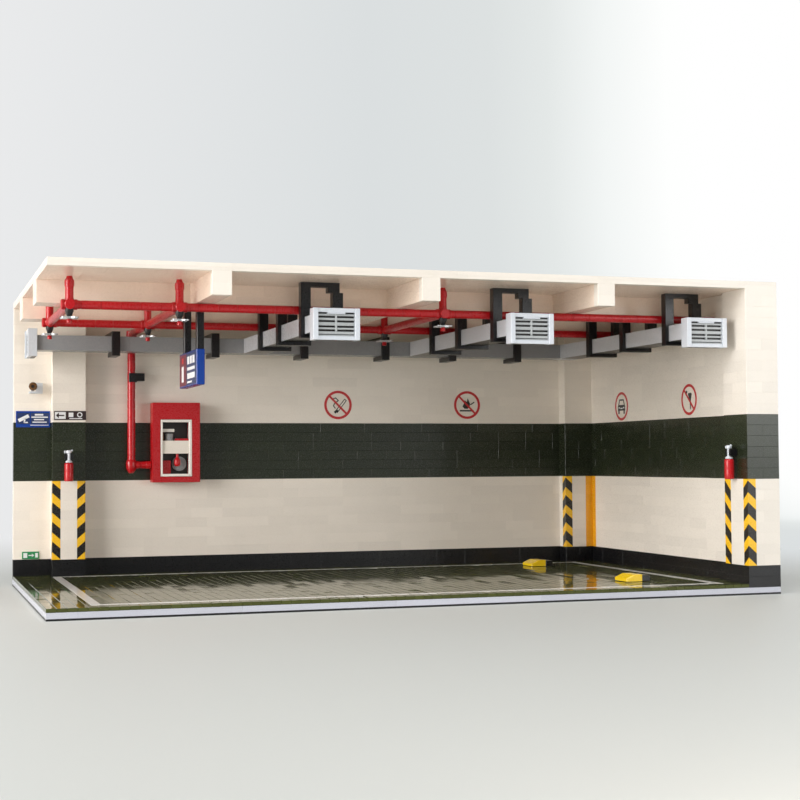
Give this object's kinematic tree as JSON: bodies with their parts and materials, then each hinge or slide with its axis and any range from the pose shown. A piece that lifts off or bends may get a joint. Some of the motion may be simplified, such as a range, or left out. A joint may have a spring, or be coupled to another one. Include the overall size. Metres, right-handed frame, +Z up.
{
  "type": "toy parking garage",
  "caption": "Brick-built toy garage bay: open front and left end, roof with beams, ducts, red pipes, hose cabinet, extinguishers, wheel stops and striped corners.",
  "frame": {"origin": "middle of the underside of the base, on the surface that it stands on", "axes": "+X to the right along the back wall, towards the pier; +Y to the back wall; +Z up"},
  "size_m": [0.64, 0.36, 0.2784],
  "materials": {
    "cream_brick": "moulded, semi-gloss",
    "green_brick": "moulded, glossy",
    "green_tile": "moulded, high gloss",
    "black_brick": "moulded, semi-gloss",
    "red_plastic": "moulded, glossy",
    "yellow_brick": "moulded and printed, glossy",
    "pale_grey_plastic": "moulded, semi-gloss",
    "duct_grey_plastic": "moulded, satin",
    "white_plastic": "moulded, semi-gloss",
    "blue_plastic": "moulded and printed, glossy"
  },
  "bodies": {
    "garage": {"base_lower_plate": "black_brick", "base_upper_plate": "pale_grey_plastic", "floor_tiles": "green_tile", "bay_line": "white_plastic", "skirting": "black_brick", "back_wall_lower": "cream_brick", "back_wall_band": "green_brick", "back_wall_upper": "cream_brick", "right_wall_lower": "cream_brick", "right_wall_band": "green_brick", "right_wall_upper": "cream_brick", "pier_lower": "cream_brick", "pier_band": "green_brick", "pier_upper": "cream_brick", "roof_panel": "cream_brick", "ceiling_beam_1": "cream_brick", "ceiling_beam_2": "cream_brick", "ceiling_beam_3": "cream_brick", "ceiling_rib_1": "cream_brick", "ceiling_rib_2": "cream_brick", "corner_guard_pilaster_left": "yellow_brick", "corner_guard_pilaster_right": "yellow_brick", "corner_guard_column": "yellow_brick", "corner_guard_pier_front": "yellow_brick", "corner_guard_pier_back": "yellow_brick", "corner_strip_plain": "yellow_brick", "wheel_stop_front": "yellow_brick", "wheel_stop_rear": "yellow_brick", "main_duct": "duct_grey_plastic", "branch_duct_1": "duct_grey_plastic", "branch_duct_2": "duct_grey_plastic", "branch_duct_3": "duct_grey_plastic", "air_vent_1": "white_plastic", "air_vent_2": "white_plastic", "air_vent_3": "white_plastic", "air_vent_end": "pale_grey_plastic", "vent_hanger_1": "black_brick", "vent_hanger_2": "black_brick", "vent_hanger_3": "black_brick", "duct_strap_1_front": "black_brick", "duct_strap_1_rear": "black_brick", "duct_strap_2_front": "black_brick", "duct_strap_2_rear": "black_brick", "duct_strap_3_front": "black_brick", "duct_strap_3_rear": "black_brick", "sprinkler_pipes": "red_plastic", "riser_pipe": "red_plastic", "hose_cabinet": "red_plastic", "cabinet_frame": "white_plastic", "fork_clip_left": "black_brick", "fork_clip_right": "black_brick", "camera_bracket": "duct_grey_plastic", "hanging_sign": "blue_plastic"},
    "bottle_left": {"extinguisher_left": "red_plastic"},
    "tap_left": {"tap_head_left": "pale_grey_plastic"},
    "bottle_right": {"extinguisher_right": "red_plastic"},
    "tap_right": {"tap_head_right": "pale_grey_plastic"},
    "reel": {"hose_reel": "duct_grey_plastic"},
    "valve": {"hydrant_valve": "red_plastic"},
    "camera_head": {"camera": "white_plastic"}
  },
  "joints": [
    {"name": "extinguisher_left_lift_off", "type": "slide", "parent": "garage", "child": "bottle_left", "axis": [0, -1, 0], "range_m": [0, 0.03]},
    {"name": "tap_left_turn", "type": "hinge", "parent": "bottle_left", "child": "tap_left", "pos_m": [-0.2688, 0.1495, 0.125], "axis": [0, 0, 1], "range_deg": [-90, 90]},
    {"name": "extinguisher_right_lift_off", "type": "slide", "parent": "garage", "child": "bottle_right", "axis": [-1, 0, 0], "range_m": [0, 0.03]},
    {"name": "tap_right_turn", "type": "hinge", "parent": "bottle_right", "child": "tap_right", "pos_m": [0.2815, -0.1595, 0.125], "axis": [0, 0, 1], "range_deg": [-90, 90]},
    {"name": "reel_spin", "type": "hinge", "parent": "garage", "child": "reel", "pos_m": [-0.1576, 0.1664, 0.11865], "axis": [0, 1, 0], "continuous": true},
    {"name": "valve_turn", "type": "hinge", "parent": "garage", "child": "valve", "pos_m": [-0.1605, 0.1597, 0.122], "axis": [0, 0, 1], "range_deg": [-180, 180]},
    {"name": "camera_pan", "type": "hinge", "parent": "garage", "child": "camera_head", "pos_m": [-0.3025, 0.1655, 0.193], "axis": [0, 0, 1], "range_deg": [-45, 45]}
  ]
}
